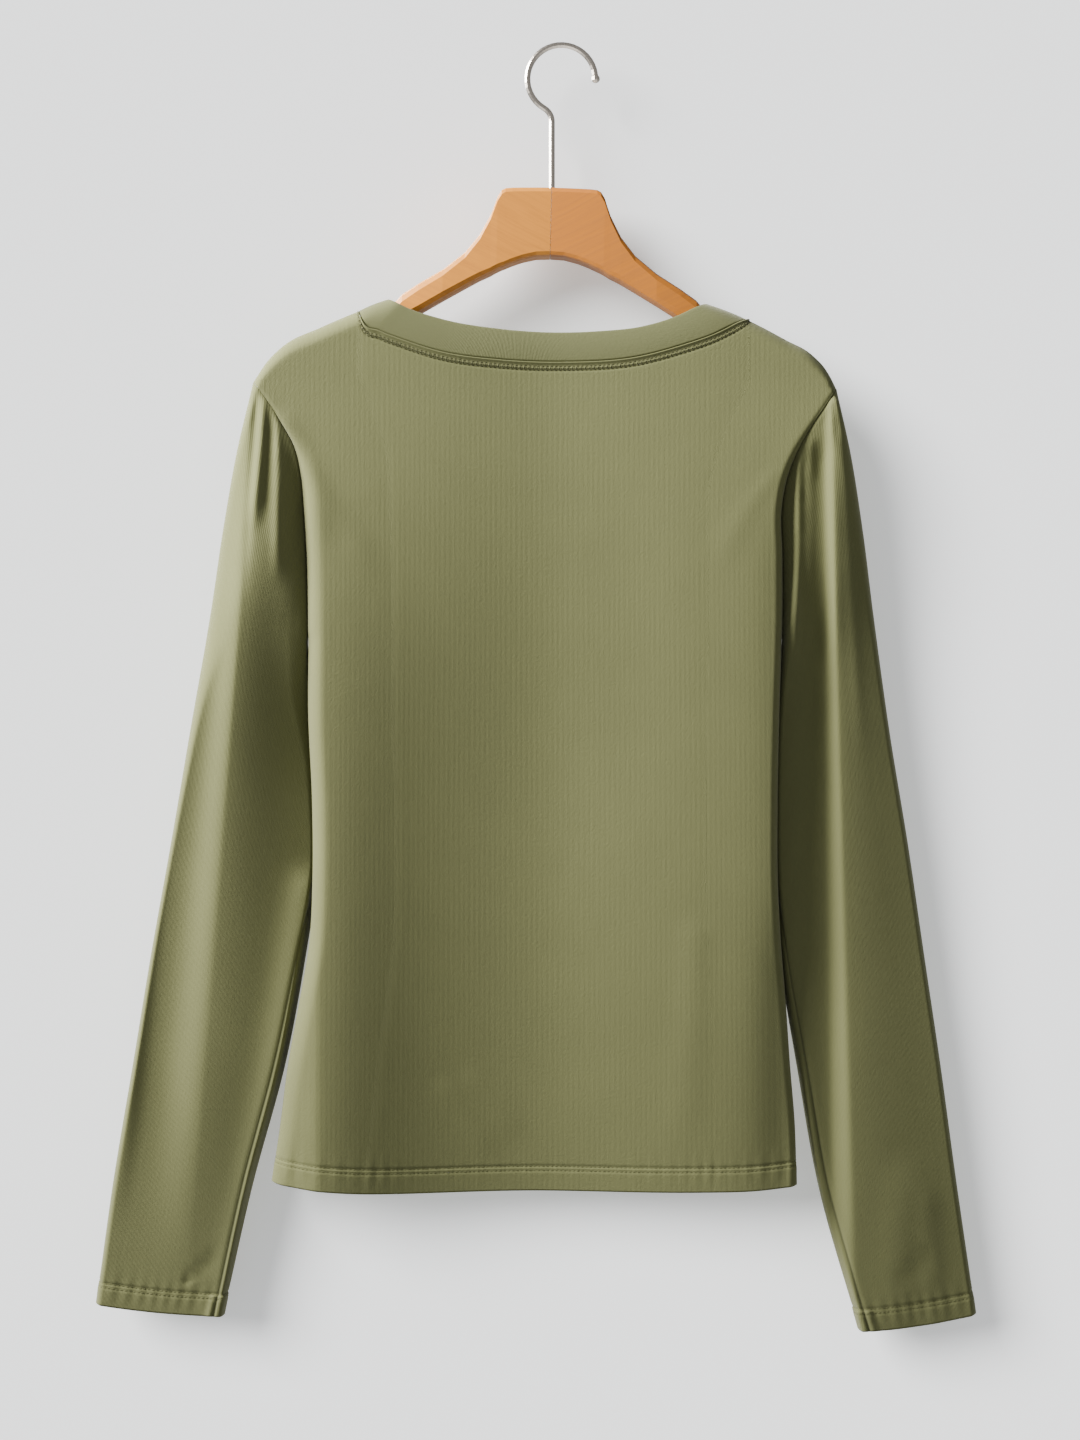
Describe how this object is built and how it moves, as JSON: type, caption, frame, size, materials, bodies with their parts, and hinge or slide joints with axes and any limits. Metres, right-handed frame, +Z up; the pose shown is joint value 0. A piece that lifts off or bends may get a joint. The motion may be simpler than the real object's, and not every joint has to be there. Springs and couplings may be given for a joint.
{
  "type": "long sleeve top on a wooden hanger",
  "caption": "Plain long sleeve jersey top with a narrow round neckband, hung on a contoured wooden hanger by its wire hook. Neck, hem and cuffs are open.",
  "frame": {"origin": "inside of the hook's top, where a rail carries the hanger", "axes": "+Z up, -Y toward the viewer, who sees the back of the garment, +X to the viewer's right"},
  "size_m": [0.5724, 0.0507, 0.8362],
  "materials": {
    "jersey": "fine cotton jersey, matte, olive",
    "beech": "satin varnish",
    "nickel": "polished nickel plate"
  },
  "bodies": {
    "root": {"back_panel": "jersey", "front_panel": "jersey", "sleeve_left": "jersey", "sleeve_right": "jersey", "neckband": "jersey", "hanger_left": "beech", "hanger_right": "beech", "hanger_hook": "nickel"}
  },
  "joints": []
}
